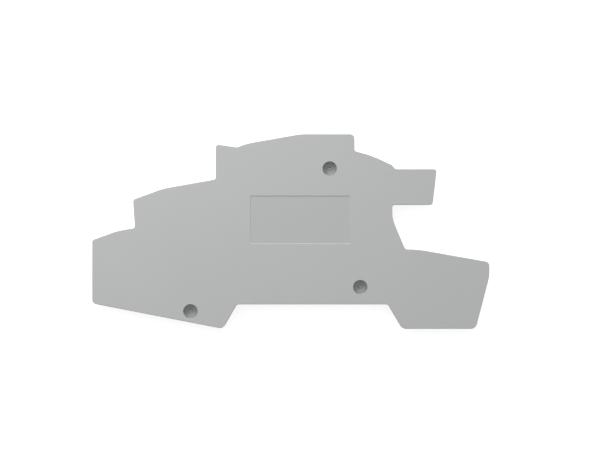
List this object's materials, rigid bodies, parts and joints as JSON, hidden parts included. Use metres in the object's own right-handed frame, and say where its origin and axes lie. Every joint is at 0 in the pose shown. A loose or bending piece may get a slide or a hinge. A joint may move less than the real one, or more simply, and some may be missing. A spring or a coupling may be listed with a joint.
{
  "type": "din rail terminal block end cover",
  "caption": "Thin moulded end plate that closes the open side of a stepped rail-mounted terminal block, with a marking field, round sockets and locating pegs.",
  "frame": {"origin": "Middle of the bounding box of the plate's outline, at the tips of the pegs on the inner face, which is what the cover lies on", "axes": "+X across the rail, towards the side with the arm; +Y away from the rail, towards the top; +Z out of the outer face"},
  "size_m": [0.0994, 0.0488, 0.0037],
  "materials": {
    "cover_plastic": "light grey moulded polyamide, fine matt spark-eroded surface"
  },
  "bodies": {
    "root": {"end_cover": "cover_plastic"}
  },
  "joints": []
}
